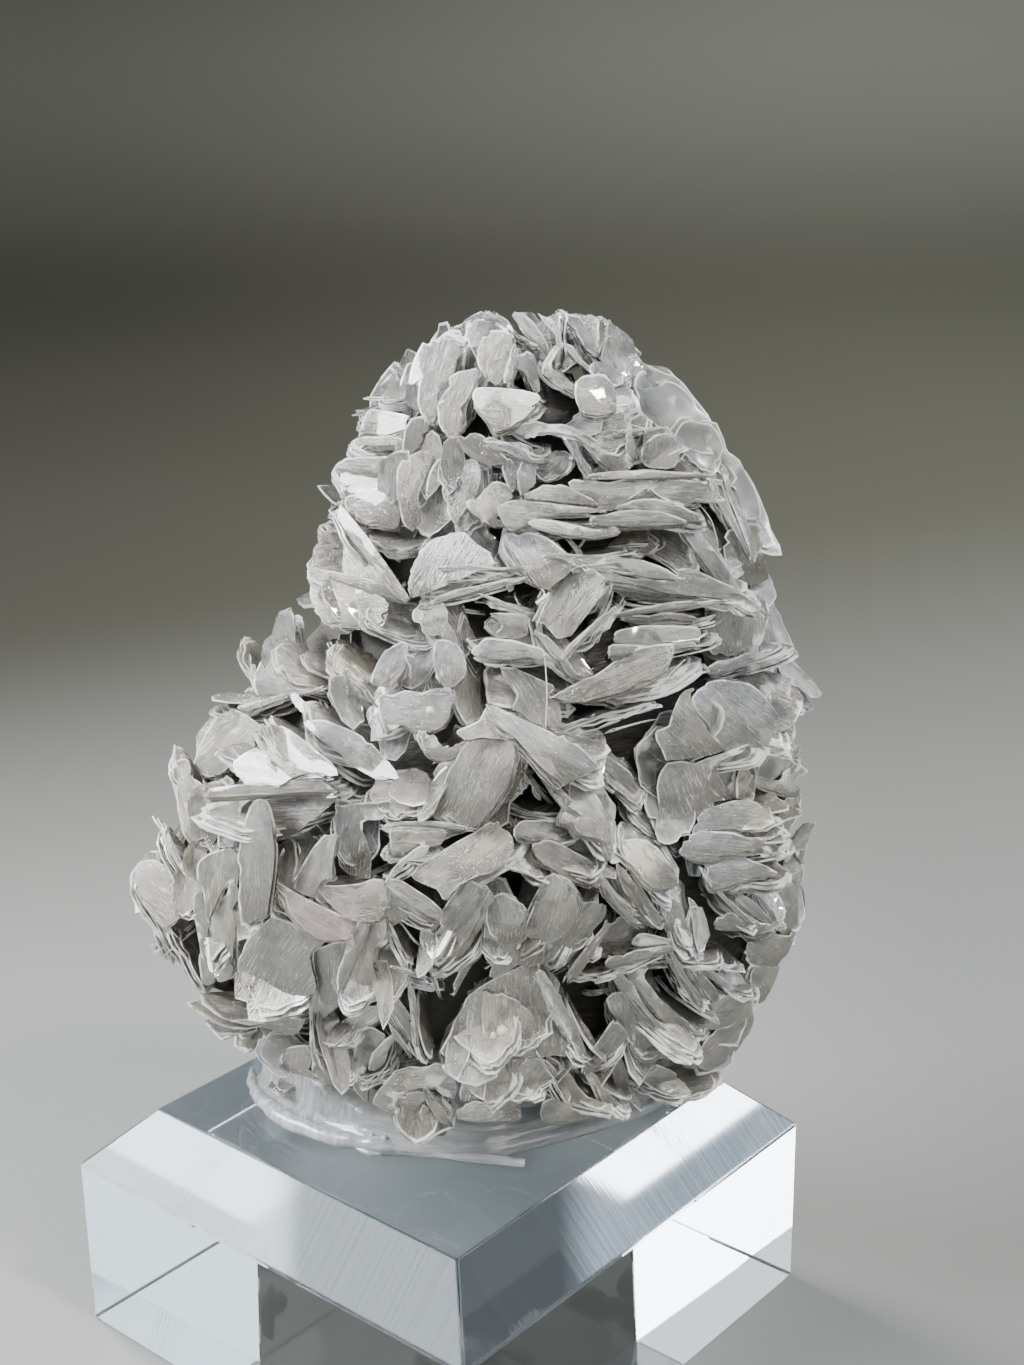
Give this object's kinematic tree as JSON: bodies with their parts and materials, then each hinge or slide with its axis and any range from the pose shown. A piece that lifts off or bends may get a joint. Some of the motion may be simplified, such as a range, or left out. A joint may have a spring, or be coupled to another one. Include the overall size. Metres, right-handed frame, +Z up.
{
  "type": "mica crystal",
  "caption": "Standing cluster of silvery mica plates fixed with a clear resin foot on a clear bevelled display block.",
  "frame": {"origin": "centre of the block's flat underside", "axes": "+Z up; the specimen's front and one corner of the block face -Y"},
  "size_m": [0.0706, 0.0706, 0.0999],
  "materials": {
    "mica": "pearly silver-grey mica, thin stacked cleavage plates with bright ragged edges",
    "clear_resin": "clear hardened resin or glue, glossy, faintly streaked",
    "clear_acrylic": "clear acrylic with polished faces and finely machined bevels"
  },
  "bodies": {
    "root": {"mica_cluster": "mica", "resin_foot": "clear_resin", "acrylic_block": "clear_acrylic"}
  },
  "joints": []
}
